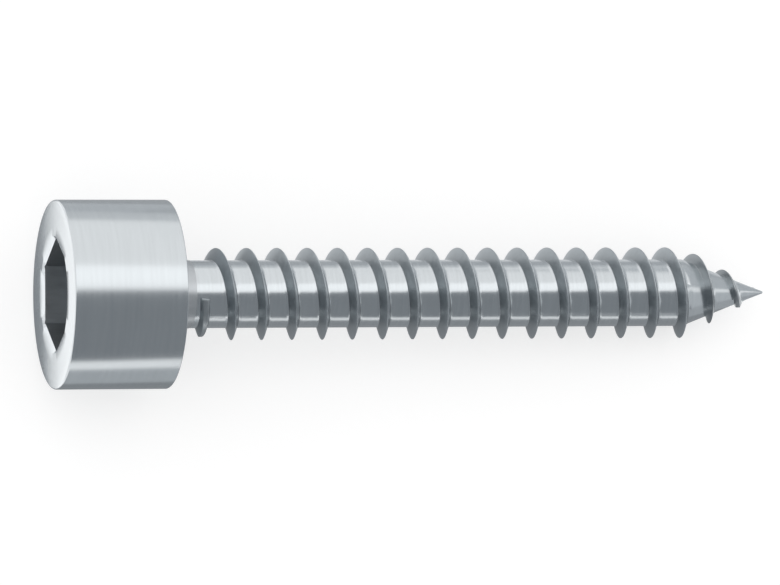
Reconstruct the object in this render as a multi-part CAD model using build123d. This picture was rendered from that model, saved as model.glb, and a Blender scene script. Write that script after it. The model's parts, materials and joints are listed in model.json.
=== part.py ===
from build123d import *
import os
from math import atan2, ceil, cos, degrees, radians, sin, tan

# Self-tapping screw, nominal size 4.8 x 32 mm, with a cylindrical head and a hexagon socket.
# It is modelled upright: the bearing face under the head is at height 0, the head is below it
# and the point is above it. At the end it is laid down as it comes to rest on a floor.
# All lengths are in millimetres and all angles in degrees.

# Head
HEAD_RADIUS = 4.8
HEAD_HEIGHT = 5.8
FRONT_CHAMFER = 0.10
BACK_CHAMFER = 0.05

# Hexagon socket
SOCKET_WIDTH = 5.0
SOCKET_DEPTH = 2.8
MOUTH_OFFSET = 0.40
MOUTH_DEPTH = 0.12
MOUTH_RADIUS = 2.92
DRILL_RADIUS = 2.3
DRILL_ANGLE = 120.0

# Neck, shank and point
UNDERHEAD_BEVEL = 0.5
NECK_RADIUS = 1.85
NECK_LENGTH = 1.22
CORE_RADIUS = 1.725
APEX_HEIGHT = 32.12
POINT_ANGLE = 41.0
TIP_RADIUS = 0.05

# Thread: right-hand and sharp, with 45 degrees between its flanks
PITCH = 1.6
CREST_RADIUS = 2.35
FLANK_ANGLE = 22.5
ROOT_SINK = 0.10
CREST_SINK = 0.025
START_HEIGHT = 1.02
CREST_SLOPE = 0.516
TAIL_HEIGHT = 29.90
FADE_HEIGHT = 30.70
END_HEIGHT = 31.40
TAIL_FLAT = 0.25

# Run-in of the thread under the head, which starts low, flat on top and ahead of the helix: turns,
# how far it is ahead of the helix, how far it stands out of the core, and the width of its flat
RUN_IN = [
    (0.275, 0.17, 0.24, 0.28),
    (0.50, 0.00, 0.44, 0.15),
    (0.69, 0.00, CREST_RADIUS - CORE_RADIUS, 0.0),
]

# On the floor the screw rests on the rim under its head and on a crest near the point, which is
# this many turns along the thread when two corners of the socket are level. From there it is
# rolled about its own axis.
REST_TURN = 16.75
ROLL = 16.0

point_slope = tan(radians(POINT_ANGLE / 2))
point_start = APEX_HEIGHT - CORE_RADIUS / point_slope
screw_length = APEX_HEIGHT - TIP_RADIUS / point_slope


def turned_body():
    """Head, neck, core and point as one turned shape."""
    front = -HEAD_HEIGHT
    outline = Polyline(
        (NECK_RADIUS + UNDERHEAD_BEVEL, 0),
        (NECK_RADIUS, UNDERHEAD_BEVEL),
        (CORE_RADIUS, NECK_LENGTH),
        (CORE_RADIUS, point_start),
        (TIP_RADIUS, screw_length),
        (0, screw_length),
        (0, front),
        (HEAD_RADIUS - FRONT_CHAMFER, front),
        (HEAD_RADIUS, front + FRONT_CHAMFER),
        (HEAD_RADIUS, -BACK_CHAMFER),
        (HEAD_RADIUS - BACK_CHAMFER, 0),
        close=True,
    )
    return revolve(make_face(Plane.XZ * outline), Axis.Z, 360)


def hexagon(width):
    """Hexagon of this width across its flats, with corners at both ends of the X axis."""
    return RegularPolygon(width / 2, 6, major_radius=False)


def socket_cut():
    """Hexagon socket with a bevelled mouth, rounded off at its corners, and a drilled end."""
    front = Plane.XY.offset(-HEAD_HEIGHT)
    hexagon_part = extrude(front * hexagon(SOCKET_WIDTH), SOCKET_DEPTH)
    bevel_end = front.offset(MOUTH_DEPTH)
    bevel = loft([front * hexagon(SOCKET_WIDTH + 2 * MOUTH_OFFSET), bevel_end * hexagon(SOCKET_WIDTH)])
    mouth = bevel & extrude(front * Circle(MOUTH_RADIUS), MOUTH_DEPTH)
    drill_depth = DRILL_RADIUS / tan(radians(DRILL_ANGLE / 2))
    drill_base = Location((0, 0, SOCKET_DEPTH - HEAD_HEIGHT + drill_depth / 2))
    drill_end = drill_base * Cone(DRILL_RADIUS, 0, drill_depth)
    return hexagon_part + mouth + drill_end


def thread_section(turn, ahead, crest, root, flat):
    """Corners of the thread's section as (height, radius), from the head side to the point side."""
    height = START_HEIGHT + PITCH * turn + ahead
    half_flat = flat / 2
    half_root = half_flat + (crest - root) * tan(radians(FLANK_ANGLE))
    crest_corners = [(height - half_flat, crest), (height + half_flat, crest)]
    return [(height - half_root, root), *crest_corners, (height + half_root, root)]


def helix_edge(first_turn, last_turn, first, last):
    """Helix between two corners, on a cylinder or on a cone."""
    rise = last[0] - first[0]
    cone_angle = degrees(atan2(last[1] - first[1], rise))
    slant_pitch = rise / (last_turn - first_turn) / cos(radians(cone_angle))
    edge = Edge.make_helix(slant_pitch, rise, first[1], angle=cone_angle)
    return edge.rotate(Axis.Z, 360 * first_turn).translate((0, 0, first[0]))


def end_cap(turn, section):
    """Flat end of the thread at this turn."""
    corners = [Vector(radius, 0, height) for height, radius in dict.fromkeys(section)]
    return Face(Wire.make_polygon(corners)).rotate(Axis.Z, 360 * turn)


def turn_at(height):
    """Turns made by the thread's crest when it has reached this height."""
    return (height - START_HEIGHT) / PITCH


def cone_radius(height):
    """Radius of the point's cone at this height."""
    return (APEX_HEIGHT - height) * point_slope


def tapered_crest(height):
    """Radius of the thread's crest at this height, where it runs down to the point."""
    return (APEX_HEIGHT - height) * CREST_SLOPE


def thread():
    """Ribbon of the thread: it rises at the neck, runs full along the core and fades at the point.

    Its root is sunk into the core, and so is its crest where it ends at the point. Before that end
    the crest grows flat.
    """
    # Each stage is a turn, how far the crest is ahead of the helix, the radii of crest and root, and
    # the width of the crest's flat.
    root = CORE_RADIUS - ROOT_SINK
    stages = [(turn, ahead, CORE_RADIUS + rise, root, flat) for turn, ahead, rise, flat in RUN_IN]
    stages.append((turn_at(APEX_HEIGHT - CREST_RADIUS / CREST_SLOPE), 0, CREST_RADIUS, root, 0.0))
    for height, crest, flat in (
        (TAIL_HEIGHT, tapered_crest(TAIL_HEIGHT), 0.0),
        (FADE_HEIGHT, tapered_crest(FADE_HEIGHT), TAIL_FLAT),
        (END_HEIGHT, cone_radius(END_HEIGHT) - CREST_SINK, TAIL_FLAT),
    ):
        stages.append((turn_at(height), 0, crest, cone_radius(height) - ROOT_SINK, flat))
    # No piece is longer than one turn, which keeps each of its faces exact.
    sections = [(stages[0][0], thread_section(*stages[0]))]
    for stage, next_stage in zip(stages, stages[1:]):
        pieces = ceil(next_stage[0] - stage[0])
        for piece in range(1, pieces + 1):
            share = piece / pieces
            values = [a + share * (b - a) for a, b in zip(stage, next_stage)]
            sections.append((values[0], thread_section(*values)))
    faces = [end_cap(*sections[0]), end_cap(*sections[-1])]
    for (turn, section), (next_turn, next_section) in zip(sections, sections[1:]):
        # Both corners of the crest follow one helix where it has no flat.
        tracks = dict.fromkeys(zip(section, next_section))
        edges = [helix_edge(turn, next_turn, first, last) for first, last in tracks]
        for edge, neighbour in zip(edges, edges[1:] + edges[:1]):
            faces.append(Face.make_surface_from_curves(edge, neighbour))
    return Solid(Shell(faces))


def laid_down(screw):
    """The screw on the floor, with its point along +X, and the middle of its box over the origin."""
    rest_height = START_HEIGHT + PITCH * (REST_TURN - ROLL / 360)
    rest_radius = (APEX_HEIGHT - rest_height) * CREST_SLOPE
    tilt = atan2(HEAD_RADIUS - rest_radius, rest_height)
    axis = (cos(tilt), 0, -sin(tilt))
    lying = Plane((0, 0, 0), x_dir=(0, 1, 0), z_dir=axis)
    tilted = lying.location * Rot(0, 0, ROLL) * screw
    box = tilted.bounding_box()
    middle = box.center()
    return Pos(-middle.X, -middle.Y, -box.min.Z) * tilted


if __name__ == "__main__":
    os.makedirs("parts", exist_ok=True)
    screw = turned_body() + thread() - socket_cut()
    export_step(laid_down(screw), "parts/tapping_screw.step")
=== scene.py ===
import json
from math import cos, floor, hypot, pi, radians, sin, tan

import bmesh
import bpy
from mathutils import Matrix, Vector


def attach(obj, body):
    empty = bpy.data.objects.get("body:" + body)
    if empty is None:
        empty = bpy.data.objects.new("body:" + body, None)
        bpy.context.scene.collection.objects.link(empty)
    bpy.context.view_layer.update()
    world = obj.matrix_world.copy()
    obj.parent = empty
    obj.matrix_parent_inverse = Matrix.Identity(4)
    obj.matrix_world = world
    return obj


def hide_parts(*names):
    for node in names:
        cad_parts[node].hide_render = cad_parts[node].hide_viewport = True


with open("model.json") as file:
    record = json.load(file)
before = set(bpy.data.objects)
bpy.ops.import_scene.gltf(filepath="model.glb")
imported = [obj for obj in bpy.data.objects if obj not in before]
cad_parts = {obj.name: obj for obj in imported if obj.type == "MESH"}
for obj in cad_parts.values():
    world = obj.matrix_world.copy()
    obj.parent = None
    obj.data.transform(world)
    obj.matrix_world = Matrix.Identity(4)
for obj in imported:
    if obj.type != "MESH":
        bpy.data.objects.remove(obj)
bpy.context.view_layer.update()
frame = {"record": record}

# A self-tapping screw with a cylindrical head and a hexagon socket lies on a pale floor, seen from
# above. One closed skin stands for the whole screw: the head is turned and forged, the shank and
# its thread are rolled. Sizes are in millimetres until a point is placed in the frame.
MM = 0.001

# Head, drawn a few thousandths inside the faces of its solid
HEAD_RADIUS = 4.795
HEAD_HEIGHT = 5.798
FRONT_EDGE = 0.10
BACK_EDGE = 0.05
EDGE_STEPS = 6
FACE_STEPS = 4

# Hexagon socket. Its mouth's bevel is no steeper than this slope.
SOCKET_WIDTH = 5.0
SOCKET_DEPTH = 2.8
MOUTH_DEPTH = 0.12
MOUTH_RADIUS = 2.96
MOUTH_SLOPE = 1.2
DRILL_RADIUS = 2.3
DRILL_ANGLE = 120.0

# Neck, shank and point
NECK_FILLET = 0.5
NECK_RADIUS = 1.85
NECK_LENGTH = 1.22
CORE_RADIUS = 1.725
APEX_HEIGHT = 32.12
POINT_ANGLE = 41.0
TIP_RADIUS = 0.05

# Thread. Its crest runs down to the point by this slope. It grows flat from the tail's height to where
# it fades, and sinks into the cone at the end.
PITCH = 1.6
CREST_RADIUS = 2.35
FLANK_ANGLE = 22.5
CREST_ROUNDING = 0.02
ROOT_ROUNDING = 0.03
CREST_SINK = 0.025
START_HEIGHT = 1.02
CREST_SLOPE = 0.516
TAIL_HEIGHT = 29.90
FADE_HEIGHT = 30.70
END_HEIGHT = 31.40
TAIL_FLAT = 0.25

# Run-in of the thread under the head, which starts low, flat on top and ahead of the helix: turns,
# how far it is ahead of the helix, how far it stands out of the core, and the width of its flat
RUN_IN = [
    (0.267, 0.17, -CREST_SINK, 0.28),
    (0.275, 0.17, 0.24, 0.28),
    (0.50, 0.00, 0.44, 0.15),
    (0.69, 0.00, CREST_RADIUS - CORE_RADIUS, 0.0),
]

# The screw lies rolled about its own axis by this angle from having two socket corners level.
ROLL = 16.0

# Steps round the axis, a multiple of six so that the socket's corners fall on them
STEPS = 120
# Places of the skin's rows beside the crest, as shares of the way to the root and then to half way
# to the next crest
FLANK_ROWS = (0.03, 0.08, 0.18, 0.4, 0.65, 0.85, 0.94, 1.0, 1.06, 1.15)
CORE_ROWS = (0.3, 0.65, 1.0)
# The flank is never taken as narrower than this, and a row of the core that is this near to the edge
# of the point's cone is moved onto it
LEAST_ROOT = 0.04
CONE_EDGE_REACH = 0.1

# Faces that meet at more than this angle have a sharp edge: on the thread and the neck, and elsewhere
ROUNDED_LIMIT = 50
SHARP_LIMIT = 25

# Studio: reach of the paper, how much it is lifted to white, and how far the cards lie above it
PAPER_REACH = 900
PAPER_LIFT = 0.6
CARD_HEIGHT = 0.05

# Studio: half the length of the flag and the back wall, the flag's section as (y, z), and where the
# back wall and the end cards stand and how high they are
WALL_REACH = 400
FLAG_PATH = [(-51, 0), (-62, 80), (-30, 150)]
BACK_WALL_PLACE = 130
BACK_WALL_HEIGHT = 15
END_CARD_PLACE = 60
END_CARD_HEIGHT = 60

# Studio: the softbox, with how far it leans from straight above the screw, and how much brighter it
# is than the surroundings
SOFTBOX_LENGTH = 500
SOFTBOX_WIDTH = 105
SOFTBOX_DISTANCE = 220
SOFTBOX_LEAN = 5.5
SOFTBOX_GLOW = 0.3

# Camera: its place beside the seat of the head and its distance, how far it is turned towards the
# head and rolled, and its focal length in pixels of a picture this wide
SEAT_LEFT = 11.3761
SEAT_LOW = 0.0545
CAMERA_DISTANCE = 340.21
CAMERA_YAW = 15.994
CAMERA_ROLL = 0.1826
FOCAL_PIXELS = 6711.67
PICTURE_WIDTH = 780
SENSOR_WIDTH = 36.0

point_slope = tan(radians(POINT_ANGLE / 2))
point_start = APEX_HEIGHT - CORE_RADIUS / point_slope
screw_length = APEX_HEIGHT - TIP_RADIUS / point_slope
flank_slope = 1 / tan(radians(FLANK_ANGLE))
tip_start = screw_length - TIP_RADIUS

mounts = {mount["name"]: mount for mount in frame["record"]["mounts"]}
seat = Vector(mounts["head_seat"]["pos_m"])
along = Vector(mounts["head_seat"]["axis"])
level = Vector((0, 1, 0))
above = along.cross(level)
across = level * cos(radians(ROLL)) + above * sin(radians(ROLL))
near = above * cos(radians(ROLL)) - level * sin(radians(ROLL))


# The skin: points are kept once, so that neighbouring patches share them

def new_skin():
    """An empty skin: its points in the frame and on the screw, its faces, and their zones."""
    return {"points": [], "on_screw": [], "faces": [], "zones": [], "found": {}}


def point_at(skin, height, radius, step):
    """Index of the skin's point at this height and radius, on this step round the axis."""
    step = step % STEPS if radius > 0 else 0
    key = (round(height, 5), round(radius, 5), step)
    if key not in skin["found"]:
        angle = 2 * pi * step / STEPS
        x, y = radius * cos(angle), radius * sin(angle)
        skin["found"][key] = len(skin["points"])
        skin["points"].append(seat + MM * (across * x + near * y + along * height))
        skin["on_screw"].append((x, y, height))
    return skin["found"][key]


def add_face(skin, corners, zone):
    """Adds a face unless its corners fall together."""
    corners = list(dict.fromkeys(corners))
    if len(corners) > 2:
        skin["faces"].append(corners)
        skin["zones"].append(zone)


def circle(height, radius):
    """A round ring: its height and radius on every step."""
    return [(height, radius)] * STEPS


def hexagon(width):
    """Radius on every step of a hexagon this wide across its flats, with a corner on the first step."""
    per_flat = STEPS // 6
    turn = [2 * pi * (step % per_flat - per_flat / 2) / STEPS for step in range(STEPS)]
    return [width / 2 / cos(angle) for angle in turn]


def add_rings(skin, rings, zone):
    """Skins a run of rings, each a height and a radius on every step."""
    for ring, next_ring in zip(rings, rings[1:]):
        for step in range(STEPS):
            after = (step + 1) % STEPS
            corners = [
                point_at(skin, *ring[step], step),
                point_at(skin, *ring[after], after),
                point_at(skin, *next_ring[after], after),
                point_at(skin, *next_ring[step], step),
            ]
            add_face(skin, corners, zone)


def quarter_round(height, radius, size, turn):
    """Rings of a quarter round about this centre, from this turn in quarters on."""
    rings = []
    for step in range(EDGE_STEPS + 1):
        angle = pi / 2 * (turn + step / EDGE_STEPS)
        rings.append(circle(height + size * sin(angle), radius + size * cos(angle)))
    return rings


# Sub-parts of the screw

def add_socket(skin):
    """Hexagon socket: drilled end, floor, flats, and a bevel out to the mouth's round rim."""
    front = -HEAD_HEIGHT
    floor_height = front + SOCKET_DEPTH
    drill_depth = DRILL_RADIUS / tan(radians(DRILL_ANGLE / 2))
    drilled = [circle(floor_height + drill_depth, 0), circle(floor_height, DRILL_RADIUS)]
    flats = hexagon(SOCKET_WIDTH)
    floor_edge = [(floor_height, radius) for radius in flats]
    # The bevel is a little shallower at the corners, where it would be steeper than its limit
    depths = [min(MOUTH_DEPTH, MOUTH_SLOPE * (MOUTH_RADIUS - radius)) for radius in flats]
    inner_edge = [(front + depth, radius) for depth, radius in zip(depths, flats)]
    add_rings(skin, [*drilled, floor_edge, inner_edge], "socket")
    add_rings(skin, [inner_edge, circle(front, MOUTH_RADIUS)], "mouth")


def add_head(skin):
    """Faced end, rounded edges, turned side and the bearing face underneath."""
    front = -HEAD_HEIGHT
    face_width = HEAD_RADIUS - FRONT_EDGE - MOUTH_RADIUS
    face = [circle(front, MOUTH_RADIUS + face_width * step / FACE_STEPS) for step in range(FACE_STEPS + 1)]
    front_edge = quarter_round(front + FRONT_EDGE, HEAD_RADIUS - FRONT_EDGE, FRONT_EDGE, 3)
    back_edge = quarter_round(-BACK_EDGE, HEAD_RADIUS - BACK_EDGE, BACK_EDGE, 0)
    add_rings(skin, face, "end")
    add_rings(skin, front_edge + back_edge, "side")
    add_rings(skin, [back_edge[-1], circle(0, NECK_RADIUS + NECK_FILLET)], "side")


def add_neck(skin):
    """Fillet under the head and the neck that runs down to the core."""
    fillet = []
    for step in range(EDGE_STEPS + 1):
        angle = pi / 2 * step / EDGE_STEPS
        radius = NECK_RADIUS + NECK_FILLET * (1 - sin(angle))
        fillet.append(circle(NECK_FILLET * (1 - cos(angle)), radius))
    add_rings(skin, fillet + [circle(NECK_LENGTH, CORE_RADIUS)], "neck")


def core_radius(height):
    """Radius of the core or of the point at this height."""
    return min(CORE_RADIUS, (APEX_HEIGHT - height) * point_slope)


def crest_stages():
    """Stages of the thread: turns, how far it is ahead of the helix, its radius and its flat's width."""
    taper_height = APEX_HEIGHT - CREST_RADIUS / CREST_SLOPE
    tail_crest = (APEX_HEIGHT - TAIL_HEIGHT) * CREST_SLOPE
    fade_crest = (APEX_HEIGHT - FADE_HEIGHT) * CREST_SLOPE
    end_crest = core_radius(END_HEIGHT) - CREST_SINK
    stages = [(turn, ahead, CORE_RADIUS + rise, flat) for turn, ahead, rise, flat in RUN_IN]
    return stages + [
        ((taper_height - START_HEIGHT) / PITCH, 0, CREST_RADIUS, 0),
        ((TAIL_HEIGHT - START_HEIGHT) / PITCH, 0, tail_crest, 0),
        ((FADE_HEIGHT - START_HEIGHT) / PITCH, 0, fade_crest, TAIL_FLAT),
        ((END_HEIGHT - START_HEIGHT) / PITCH, 0, end_crest, TAIL_FLAT),
    ]


def crest_at(turn, stages):
    """How far the crest is ahead at this turn, its radius and its flat's width; all 0 off the thread."""
    for stage, next_stage in zip(stages, stages[1:]):
        if stage[0] <= turn <= next_stage[0]:
            share = (turn - stage[0]) / (next_stage[0] - stage[0])
            return [a + share * (b - a) for a, b in zip(stage[1:], next_stage[1:])]
    return [0.0, 0.0, 0.0]


def shank_radius(offset, height, crest, flat):
    """Radius of the shank this far along from the crest, with the crest and the roots rounded."""
    core = core_radius(height)
    if crest <= core - CREST_SINK:
        return core
    past_flat = max(abs(offset) - flat / 2, 0)
    flank = crest - (hypot(past_flat, CREST_ROUNDING) - CREST_ROUNDING) * flank_slope
    gap = abs(core - flank)
    blend = max(ROOT_ROUNDING - gap, 0) ** 2 / (4 * ROOT_ROUNDING)
    return max(core, flank) + blend


def root_offset(height, crest, side):
    """How far past its flat the flank meets the core on this side, -1 to the head and 1 to the point."""
    rise = crest - core_radius(height)
    slope = point_slope if height > point_start else 0.0
    return max(rise / (flank_slope - side * slope), LEAST_ROOT)


def shank_column(turn, stages):
    """Rows of the skin across one pitch at this turn, as height, radius and whether on the thread."""
    helix = START_HEIGHT + PITCH * turn
    ahead, crest, flat = crest_at(turn, stages)
    stands_out = crest > core_radius(helix)
    rows = [(ahead, stands_out)]
    for side in (-1, 1):
        root = root_offset(helix, crest, side)
        for share in FLANK_ROWS:
            rows.append((ahead + side * (flat / 2 + share * root), stands_out))
        last = rows[-1][0]
        rows += [(last + share * (side * PITCH / 2 - last), False) for share in CORE_ROWS]
    column = []
    for offset, on_thread in sorted(rows):
        height = min(max(helix + offset, NECK_LENGTH), tip_start)
        # The nearest row of the core follows the edge where the cone of the point starts
        if not on_thread and abs(height - point_start) < CONE_EDGE_REACH:
            height = point_start
        column.append((height, shank_radius(offset - ahead, height, crest, flat), on_thread))
    return column


def add_shank(skin):
    """Core, point and thread: one skin whose rows follow the thread's helix."""
    stages = crest_stages()
    first = floor((NECK_LENGTH - PITCH / 2 - START_HEIGHT) / PITCH * STEPS)
    last = floor((tip_start + PITCH / 2 - START_HEIGHT) / PITCH * STEPS) + 1
    columns = [shank_column(step / STEPS, stages) for step in range(first, last + 1)]
    for index, (column, after) in enumerate(zip(columns, columns[1:])):
        step = first + index
        for row in range(len(column) - 1):
            corners = [
                point_at(skin, column[row][0], column[row][1], step),
                point_at(skin, after[row][0], after[row][1], step + 1),
                point_at(skin, after[row + 1][0], after[row + 1][1], step + 1),
                point_at(skin, column[row + 1][0], column[row + 1][1], step),
            ]
            on_thread = any(rows[row][2] and rows[row + 1][2] for rows in (column, after))
            add_face(skin, corners, "thread" if on_thread else "core")


def add_tip(skin):
    """Rounded end of the point."""
    base = core_radius(tip_start)
    rings = []
    for step in range(EDGE_STEPS + 1):
        angle = pi / 2 * step / EDGE_STEPS
        rings.append(circle(tip_start + TIP_RADIUS * sin(angle), base * cos(angle)))
    rings[-1] = circle(tip_start + TIP_RADIUS, 0)
    add_rings(skin, rings, "core")


def screw_object(skin, materials):
    """The skin as an object, shaded smooth apart from its real edges."""
    names = list(materials)
    mesh = bpy.data.meshes.new("tapping_screw_skin")
    mesh.from_pydata(skin["points"], [], skin["faces"])
    for name in names:
        mesh.materials.append(materials[name])
    for polygon, zone in zip(mesh.polygons, skin["zones"]):
        polygon.material_index = names.index(zone)
    # Each point's place on the screw in millimetres, which the materials take their patterns from
    place = mesh.attributes.new("on_screw", "FLOAT_VECTOR", "POINT")
    place.data.foreach_set("vector", [value for point in skin["on_screw"] for value in point])
    shape = bmesh.new()
    shape.from_mesh(mesh)
    bmesh.ops.recalc_face_normals(shape, faces=shape.faces)
    rounded = {names.index("thread"), names.index("neck")}
    for edge in shape.edges:
        kinds = {face.material_index for face in edge.link_faces}
        limit = ROUNDED_LIMIT if kinds & rounded else SHARP_LIMIT
        edge.smooth = edge.calc_face_angle(0) < radians(limit)
    for face in shape.faces:
        face.smooth = True
    shape.to_mesh(mesh)
    shape.free()
    screw = bpy.data.objects.new("tapping_screw_skin", mesh)
    bpy.context.collection.objects.link(screw)
    return screw


# Materials

def linear(code):
    """A colour written as sRGB hex, as the linear values that a shader takes."""
    channels = [int(code[i:i + 2], 16) / 255 for i in (1, 3, 5)]
    return [c / 12.92 if c <= 0.04045 else ((c + 0.055) / 1.055) ** 2.4 for c in channels] + [1.0]


def add_node(tree, kind, inputs=None, **settings):
    """Adds a node with its settings, and its inputs as values or as outputs of other nodes."""
    node = tree.nodes.new(kind)
    for name, value in settings.items():
        setattr(node, name, value)
    for name, value in (inputs or {}).items():
        if isinstance(value, bpy.types.NodeSocket):
            tree.links.new(value, node.inputs[name])
        else:
            node.inputs[name].default_value = value
    return node


def new_material(name):
    """An empty material and its node tree."""
    material = bpy.data.materials.new(name)
    material.use_nodes = True
    material.node_tree.nodes.clear()
    return material, material.node_tree


def stretched_noise(tree, density, detail):
    """Noise with this many features a millimetre along x, y and the screw's axis."""
    place = add_node(tree, "ShaderNodeAttribute", attribute_name="on_screw")
    stretched = add_node(
        tree, "ShaderNodeVectorMath", {0: place.outputs["Vector"], 1: density}, operation="MULTIPLY"
    )
    pattern = {"Vector": stretched.outputs["Vector"], "Scale": 1.0, "Detail": detail}
    return add_node(tree, "ShaderNodeTexNoise", pattern).outputs["Fac"]


def distance_from_axis(tree):
    """How far the surface is from the screw's axis, in millimetres."""
    place = add_node(tree, "ShaderNodeAttribute", attribute_name="on_screw")
    flat = add_node(
        tree, "ShaderNodeVectorMath", {0: place.outputs["Vector"], 1: (1, 1, 0)}, operation="MULTIPLY"
    )
    length = add_node(tree, "ShaderNodeVectorMath", {0: flat.outputs["Vector"]}, operation="LENGTH")
    return length.outputs["Value"]


def steel(name, colour, roughness, lines, line_tone, waves, wave_height, painted_crest_light=1.0, bare=1.0):
    """Bright stainless steel with fine lines and low waves left by the way its surface was made.

    lines and waves say how many there are in a millimetre along x, y and the screw's axis. The lines
    change the colour by up to line_tone, as a share, and the roughness by twice as much. The waves are
    wave_height millimetres high and bend the reflections. painted_crest_light is how much brighter the
    colour is painted at the thread's crest than at its root: painted shade in the roots and a painted
    highlight on the crest. bare is how much of the metal shows through a dull film. The real lines are
    taken as 0.05 mm apart, which is finer than the picture shows, so they are drawn 0.12 to 0.3 mm
    apart.
    """
    material, tree = new_material(name)
    fine = stretched_noise(tree, lines, 3.0)
    spread = {"Value": fine, "From Min": 0.3, "From Max": 0.7}
    smoothest, roughest = roughness * (1 - 2 * line_tone), roughness * (1 + 2 * line_tone)
    rough = add_node(tree, "ShaderNodeMapRange", {**spread, "To Min": smoothest, "To Max": roughest})
    darkest, lightest = 1 - line_tone, 1 + line_tone
    tone = add_node(tree, "ShaderNodeMapRange", {**spread, "To Min": darkest, "To Max": lightest})
    shade = add_node(
        tree,
        "ShaderNodeVectorMath",
        {0: linear(colour)[:3], 1: tone.outputs["Result"]},
        operation="MULTIPLY",
    )
    # Painted shade and painted highlight: the colour brightens from the core's radius out to the crest's, so
    # the thread's roots look shaded and its crest lit
    root_shade_factor = add_node(
        tree,
        "ShaderNodeMapRange",
        {
            "Value": distance_from_axis(tree),
            "From Min": CORE_RADIUS,
            "From Max": CREST_RADIUS,
            "To Min": 1.0,
            "To Max": painted_crest_light,
        },
    )
    shade = add_node(
        tree,
        "ShaderNodeVectorMath",
        {0: shade.outputs["Vector"], 1: root_shade_factor.outputs["Result"]},
        operation="MULTIPLY",
    )
    low = stretched_noise(tree, waves, 1.0)
    bump = add_node(tree, "ShaderNodeBump", {"Height": low, "Distance": wave_height * MM, "Strength": 1.0})
    shader = add_node(
        tree,
        "ShaderNodeBsdfPrincipled",
        {
            "Base Color": shade.outputs["Vector"],
            "Metallic": bare,
            "Roughness": rough.outputs["Result"],
            "Normal": bump.outputs["Normal"],
        },
    )
    add_node(tree, "ShaderNodeOutputMaterial", {"Surface": shader.outputs["BSDF"]})
    return material


def plain_emission(name, colour, strength):
    """A card that glows evenly."""
    material, tree = new_material(name)
    glow = add_node(tree, "ShaderNodeEmission", {"Color": linear(colour), "Strength": strength})
    add_node(tree, "ShaderNodeOutputMaterial", {"Surface": glow.outputs["Emission"]})
    return material


def shows_background(tree):
    """One for the rays that see the background: the camera's, and those off metal or through glass."""
    path = add_node(tree, "ShaderNodeLightPath")
    seen = path.outputs["Is Camera Ray"]
    for name in ("Is Glossy Ray", "Is Transmission Ray"):
        either = add_node(tree, "ShaderNodeMath", {0: seen, 1: path.outputs[name]}, operation="MAXIMUM")
        seen = either.outputs["Value"]
    return seen


def pale_floor():
    """Matt white paper. A little even light is added to what is seen of it, so that it stays white."""
    material, tree = new_material("matt_white_paper")
    paper = add_node(tree, "ShaderNodeBsdfDiffuse", {"Color": linear("#bcbcbc"), "Roughness": 0.9})
    seen = shows_background(tree)
    lift = add_node(tree, "ShaderNodeMath", {0: seen, 1: PAPER_LIFT}, operation="MULTIPLY")
    strength = lift.outputs["Value"]
    glow = add_node(tree, "ShaderNodeEmission", {"Color": linear("#ffffff"), "Strength": strength})
    both = add_node(tree, "ShaderNodeAddShader", {0: paper.outputs["BSDF"], 1: glow.outputs["Emission"]})
    add_node(tree, "ShaderNodeOutputMaterial", {"Surface": both.outputs["Shader"]})
    return material


def screw_materials():
    """A material for each zone of the skin."""
    bright = "#d3d8db"
    # Each row says the material's name, its colour and roughness, the lines and how far they change
    # its tone, and the waves and their height.
    return {
        # Turned on a lathe: faint lines run round the head, and the light slides along it in bands
        "side": steel(
            "turned_stainless_side", bright, 0.2, (0.3, 0.3, 6.0), 0.02, (1.0, 1.0, 0.5), 0.002
        ),
        # Faced and tumbled: an even satin. Its greying towards the floor is the painted shadow of the
        # cards before the head, which it reflects
        "end": steel(
            "faced_stainless_end", bright, 0.22, (5.0, 5.0, 1.0), 0.03, (1.0, 1.0, 1.0), 0.002
        ),
        # Pressed by the punch: smooth and bright along the socket's edge
        "mouth": steel(
            "pressed_stainless_mouth", bright, 0.2, (5.0, 5.0, 5.0), 0.02, (1.0, 1.0, 1.0), 0.001
        ),
        # Forged by the punch: duller, with drag lines down the walls
        "socket": steel(
            "forged_stainless_socket", "#babec1", 0.34, (7.0, 7.0, 1.0), 0.05, (2.0, 2.0, 1.0), 0.003
        ),
        # Left as forged, under a thin film of the drawing lubricant, which greys its bands of light
        "neck": steel(
            "forged_stainless_neck",
            "#c2c6c9",
            0.3,
            (3.0, 3.0, 3.0),
            0.04,
            (1.5, 1.5, 1.5),
            0.003,
            bare=0.8,
        ),
        # Burnished between the rolled threads: bright, with faint lines round it
        "core": steel(
            "burnished_stainless_core", bright, 0.2, (0.5, 0.5, 8.0), 0.03, (1.5, 1.5, 1.0), 0.002
        ),
        # Rolled by the dies: rougher. Its darker colour is painted shade on the flanks, darker still in
        # the roots, and the crest is painted brighter, a painted highlight
        "thread": steel(
            "rolled_stainless_thread_painted_shade",
            "#a7acaf",
            0.34,
            (4.0, 4.0, 4.0),
            0.05,
            (2.0, 2.0, 2.0),
            0.003,
            painted_crest_light=1.4,
        ),
    }


# Studio. Cards stand or lie round the screw, glow, and are seen only in the metal: they are painted
# reflections, laid out as in a photographer's tent. A dark flag on one side and grey cards close by
# draw the edges of the round metal.

def sheet(name, corners, material):
    """A flat card through these corners, in millimetres."""
    mesh = bpy.data.meshes.new(name)
    mesh.from_pydata([Vector(corner) * MM for corner in corners], [], [list(range(len(corners)))])
    mesh.materials.append(material)
    card = bpy.data.objects.new(name, mesh)
    bpy.context.collection.objects.link(card)
    return card


def only_in_reflections(card):
    """A card that is seen only in the metal: it takes no light away and isn't in the picture."""
    card.visible_camera = False
    card.visible_diffuse = False
    card.visible_transmission = False
    card.visible_shadow = False


def make_floor():
    """A wide sheet of paper at height 0."""
    reach = PAPER_REACH
    corners = [(-reach, -reach, 0), (reach, -reach, 0), (reach, reach, 0), (-reach, reach, 0)]
    sheet("floor", corners, pale_floor())


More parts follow.
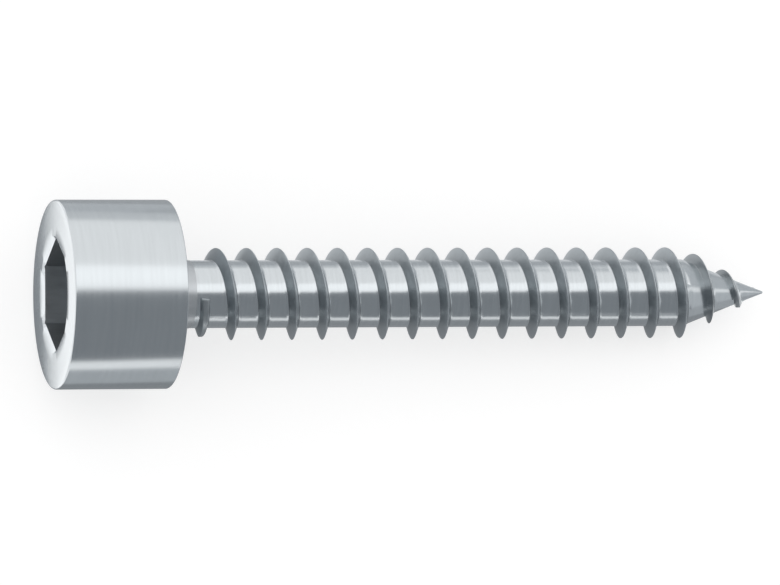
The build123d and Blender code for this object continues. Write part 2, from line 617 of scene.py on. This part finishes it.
def make_floor_cards():
    """Cards that lie on the paper and are seen only in the metal. The grey and dark ones beside the screw
    are painted shadow of the floor near it, the white strip is painted light, and three before its head
    are the painted shadow and light of the floor there.
    """
    # Painted shadow and painted light: in the metal's reflections these cards stand for the floor's shade
    # near the screw and for its lit parts further off
    # Each card's colour, its strength, and its corners as (x, y)
    lying = {
        "head_edge_card": ("#8c9093", 1.0, [(-19, -1), (-19, -7.5), (-11, -7.5), (-11, -1)]),
        "head_near_card": (
            "#b4b8bb",
            1.0,
            [(-19, -7.5), (-19, -17), (-8.2, -16.2), (-8.4, -10.2), (-11, -7.5)],
        ),
        "shank_near_card": ("#96999c", 1.0, [(-11, -1), (-11, -7.5), (-8.4, -10.2), (18, -7.1), (18, -1)]),
        "strip_light": (
            "#ffffff",
            1.0,
            [(-8.4, -10.2), (-8.2, -16.2), (-8, -18.6), (18, -12.2), (18, -7.1)],
        ),
        "far_card": (
            "#868a8e",
            1.0,
            [(-60, -51), (-60, -34), (-1, -32), (-6.4, -19.5), (-8, -18.6), (18, -12.2), (18, -51)],
        ),
        "point_card": ("#b0b3b6", 1.0, [(18, -1), (18, -51), (60, -51), (60, -1)]),
        "head_root_card": ("#a9acaf", 1.0, [(-19, 1), (-11.5, 1), (-11.5, 7), (-8, 7), (-8, 13), (-19, 13)]),
        "head_back_card": ("#c4c7ca", 1.0, [(-19, 13), (-8, 13), (-8, 36), (-19, 36)]),
        "shank_root_card": ("#dcdee0", 1.0, [(-11.5, 2), (30, 2), (30, 7), (-11.5, 7)]),
        "shank_back_card": ("#b8bbbe", 1.0, [(-8, 7), (50, 7), (50, 36), (-8, 36)]),
        "outer_back_card": ("#d4d6d8", 1.0, [(-40, 36), (80, 36), (80, 130), (-40, 130)]),
        # Painted shadow and painted light of the floor just before the head, seen in the head's end
        "head_shade": ("#909498", 1.0, [(-18.7, -8), (-19.4, 10), (-20.7, 10), (-19.4, -8)]),
        "head_half_shade": ("#e4e6e7", 1.0, [(-19.4, -8), (-20.7, 10), (-21.3, 10), (-20.0, -8)]),
        "head_light": ("#ffffff", 1.3, [(-20.0, -8), (-21.3, 10), (-23.6, 10), (-22.9, -8)]),
    }
    for name, (colour, strength, outline) in lying.items():
        corners = [(x, y, CARD_HEIGHT) for x, y in outline]
        only_in_reflections(sheet(name, corners, plain_emission(name, colour, strength)))


def make_flag():
    """Dark card that stands on the floor beyond the screw's lower side and leans over it. It glows
    and is seen only in the metal: a painted dark reflection.
    """
    dark = plain_emission("dark_flag", "#888c90", 1.0)
    for index, (a, b) in enumerate(zip(FLAG_PATH, FLAG_PATH[1:])):
        corners = [(-WALL_REACH, *a), (WALL_REACH, *a), (WALL_REACH, *b), (-WALL_REACH, *b)]
        only_in_reflections(sheet(f"flag_{index}", corners, dark))


def make_back_wall():
    """Low grey card that stands far beyond the screw's upper side, a painted reflection: it glows and
    is seen only in the metal.
    """
    foot = [(-WALL_REACH, BACK_WALL_PLACE, 0), (WALL_REACH, BACK_WALL_PLACE, 0)]
    top = [(x, y, BACK_WALL_HEIGHT) for x, y, _ in reversed(foot)]
    only_in_reflections(sheet("back_wall", foot + top, plain_emission("back_wall", "#d4d6d8", 1.0)))


def make_end_cards():
    """Grey cards that stand beyond the point, with a light strip between them: painted reflections,
    glowing and seen only in the metal, and the strip a painted highlight along the point.
    """
    grey = plain_emission("grey_end_card", "#c4c7ca", 1.0)
    light = plain_emission("light_end_card", "#ffffff", 1.0)
    strips = [(-150, -6, grey), (-6, 5, light), (5, 150, grey)]
    for index, (first, last, material) in enumerate(strips):
        foot = [(END_CARD_PLACE, first, 0), (END_CARD_PLACE, last, 0)]
        top = [(x, y, END_CARD_HEIGHT) for x, y, _ in reversed(foot)]
        only_in_reflections(sheet(f"end_card_{index}", foot + top, material))


def make_world():
    """Even white surroundings."""
    world = bpy.data.worlds.new("studio")
    world.use_nodes = True
    world.node_tree.nodes.clear()
    glow = add_node(world.node_tree, "ShaderNodeBackground", {"Color": linear("#ffffff"), "Strength": 1.0})
    add_node(world.node_tree, "ShaderNodeOutputWorld", {"Surface": glow.outputs["Background"]})
    bpy.context.scene.world = world


def make_softbox():
    """Long soft lamp over the screw, which gives the light band above the middle of the metal."""
    lamp = bpy.data.lights.new("softbox", "AREA")
    lamp.shape = "RECTANGLE"
    lamp.size, lamp.size_y = SOFTBOX_LENGTH * MM, SOFTBOX_WIDTH * MM
    lamp.energy = lamp.size * lamp.size_y * pi * SOFTBOX_GLOW
    box = bpy.data.objects.new("softbox", lamp)
    direction = Vector((0, sin(radians(SOFTBOX_LEAN)), cos(radians(SOFTBOX_LEAN))))
    box.location = direction * SOFTBOX_DISTANCE * MM
    box.rotation_mode = "QUATERNION"
    box.rotation_quaternion = direction.to_track_quat("Z", "Y")
    bpy.context.collection.objects.link(box)


def make_camera():
    """Camera above the screw, turned a little towards the head so that the socket shows."""
    yaw, roll = radians(CAMERA_YAW), radians(CAMERA_ROLL)
    right = cos(yaw) * along + sin(yaw) * near
    back = cos(yaw) * near - sin(yaw) * along
    place = seat + MM * (SEAT_LEFT * right + SEAT_LOW * across + CAMERA_DISTANCE * back)
    tilted_right = cos(roll) * right - sin(roll) * across
    tilted_up = sin(roll) * right + cos(roll) * across
    camera = bpy.data.cameras.new("camera")
    camera.sensor_width = SENSOR_WIDTH
    camera.lens = FOCAL_PIXELS / PICTURE_WIDTH * SENSOR_WIDTH
    camera.clip_start, camera.clip_end = 0.01, 10.0
    viewer = bpy.data.objects.new("camera", camera)
    turn = Matrix((tilted_right, tilted_up, back)).transposed().to_4x4()
    viewer.matrix_world = Matrix.Translation(place) @ turn
    bpy.context.collection.objects.link(viewer)
    bpy.context.scene.camera = viewer


skin = new_skin()
add_socket(skin)
add_head(skin)
add_neck(skin)
add_shank(skin)
add_tip(skin)
screw = screw_object(skin, screw_materials())
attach(screw, "root")
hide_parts("tapping_screw")

make_floor()
make_floor_cards()
make_flag()
make_back_wall()
make_end_cards()
make_world()
make_softbox()
make_camera()
bpy.context.scene.view_settings.view_transform = "Standard"
